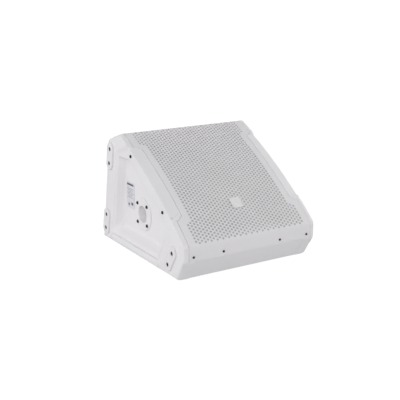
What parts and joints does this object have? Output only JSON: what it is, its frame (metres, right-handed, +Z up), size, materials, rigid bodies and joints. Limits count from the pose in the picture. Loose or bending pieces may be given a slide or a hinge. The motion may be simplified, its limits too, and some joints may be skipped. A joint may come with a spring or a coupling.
{
  "type": "wedge floor monitor speaker",
  "caption": "Floor monitor wedge with a perforated sloping grille, pocketed side panels with a pole socket, a coaxial driver inside and a rear amplifier tray.",
  "frame": {"origin": "centre of the bounding box in plan, at the floor the rubber feet stand on", "axes": "+Z up, +X to the right seen from the front, -Y towards the listener at the low front lip; the sloping grille faces -Y and +Z, the amplifier tray faces +Y"},
  "size_m": [0.328, 0.3637, 0.255],
  "materials": {
    "white_moulding": "fine matt grain",
    "white_cabinet": "white textured paint over plywood",
    "white_grille": "satin powder coat",
    "grille_foam": "open-cell foam",
    "gloss_white": "smooth",
    "pad_plastic": "smooth matt",
    "black_fastener": "black oxide",
    "black_rubber": "matt",
    "baffle": "black paint on birch plywood",
    "basket": "black paint",
    "magnet": "fired ferrite with plated plates",
    "coil": "enamelled copper winding",
    "cone": "treated paper",
    "surround": "doped cloth",
    "spider": "impregnated cloth",
    "horn": "smooth matt",
    "driver": "cast and machined",
    "port": "smooth matt",
    "tray_metal": "fine textured paint",
    "heat_sink": "bead blasted",
    "circuit_board": "solder mask",
    "transformer": "taped winding",
    "black_plastic": "fine matt",
    "latch_metal": "plated",
    "lens": "translucent"
  },
  "bodies": {
    "cabinet": {"cabinet_shell": "white_cabinet", "side_panel_right": "white_moulding", "side_panel_left": "white_moulding", "front_grille": "white_grille", "grille_foam": "grille_foam", "badge": "gloss_white", "pole_socket": "white_moulding", "blank_plate": "gloss_white", "baffle_board": "baffle", "woofer_basket": "basket", "woofer_magnet": "magnet", "woofer_surround": "surround", "woofer_spider": "spider", "woofer_gasket": "black_rubber", "coaxial_horn": "horn", "compression_driver": "driver", "port_tube_left": "port", "port_tube_right": "port", "amplifier_tray": "tray_metal", "amplifier_board": "circuit_board", "heat_sink": "heat_sink", "input_socket": "black_plastic", "link_socket": "black_plastic", "status_light": "lens", "power_inlet": "black_plastic", "rocker_frame": "black_plastic", "power_transformer": "transformer", "grille_screw_1": "black_fastener", "rubber_foot_1": "black_rubber", "pole_socket_screw_1": "black_fastener", "grille_screw_2": "black_fastener", "rubber_foot_2": "black_rubber", "pole_socket_screw_2": "black_fastener", "grille_screw_3": "black_fastener", "rubber_foot_3": "black_rubber", "pole_socket_screw_3": "black_fastener", "grille_screw_4": "black_fastener", "rubber_foot_4": "black_rubber", "pole_socket_screw_4": "black_fastener", "side_pad_left_rear_top": "pad_plastic", "side_pad_left_rear_bottom": "pad_plastic", "side_pad_left_front": "pad_plastic", "panel_screw_left_1": "black_fastener", "panel_screw_left_2": "black_fastener", "side_pad_right_rear_top": "pad_plastic", "side_pad_right_rear_bottom": "pad_plastic", "side_pad_right_front": "pad_plastic", "panel_screw_right_1": "black_fastener", "panel_screw_right_2": "black_fastener"},
    "cone": {"voice_coil": "coil", "woofer_cone": "cone"},
    "knob_1": {"level_knob_1": "black_plastic"},
    "knob_2": {"level_knob_2": "black_plastic"},
    "knob_3": {"level_knob_3": "black_plastic"},
    "button": {"mode_button": "black_plastic"},
    "latch": {"input_latch": "latch_metal"},
    "fuse": {"fuse_drawer": "black_plastic"},
    "rocker": {"power_rocker": "black_plastic"}
  },
  "joints": [
    {"name": "cone_travel", "type": "slide", "parent": "cabinet", "child": "cone", "axis": [0, -0.5515, 0.8342], "range_m": [-0.004, 0.004], "stiffness_N_per_m": 2500, "deforming": ["woofer_surround", "woofer_spider"]},
    {"name": "level_knob_1_turn", "type": "hinge", "parent": "cabinet", "child": "knob_1", "pos_m": [-0.012, 0.14331, 0.13259], "axis": [0, 0.986, 0.1668], "range_deg": [-150, 150]},
    {"name": "level_knob_2_turn", "type": "hinge", "parent": "cabinet", "child": "knob_2", "pos_m": [-0.04, 0.14331, 0.13259], "axis": [0, 0.986, 0.1668], "range_deg": [-150, 150]},
    {"name": "level_knob_3_turn", "type": "hinge", "parent": "cabinet", "child": "knob_3", "pos_m": [-0.068, 0.14331, 0.13259], "axis": [0, 0.986, 0.1668], "range_deg": [-150, 150]},
    {"name": "mode_button_press", "type": "slide", "parent": "cabinet", "child": "button", "axis": [0, -0.986, -0.1668], "range_m": [0, 0.002], "stiffness_N_per_m": 900},
    {"name": "input_latch_press", "type": "slide", "parent": "cabinet", "child": "latch", "axis": [0, -0.986, -0.1668], "range_m": [0, 0.0012], "stiffness_N_per_m": 1200},
    {"name": "fuse_drawer_pull", "type": "slide", "parent": "cabinet", "child": "fuse", "axis": [0, 0.986, 0.1668], "range_m": [0, 0.0165]},
    {"name": "power_rocker_tilt", "type": "hinge", "parent": "cabinet", "child": "rocker", "pos_m": [0.014, 0.14951, 0.07076], "axis": [1, 0, 0], "range_deg": [0, 16.04]}
  ]
}
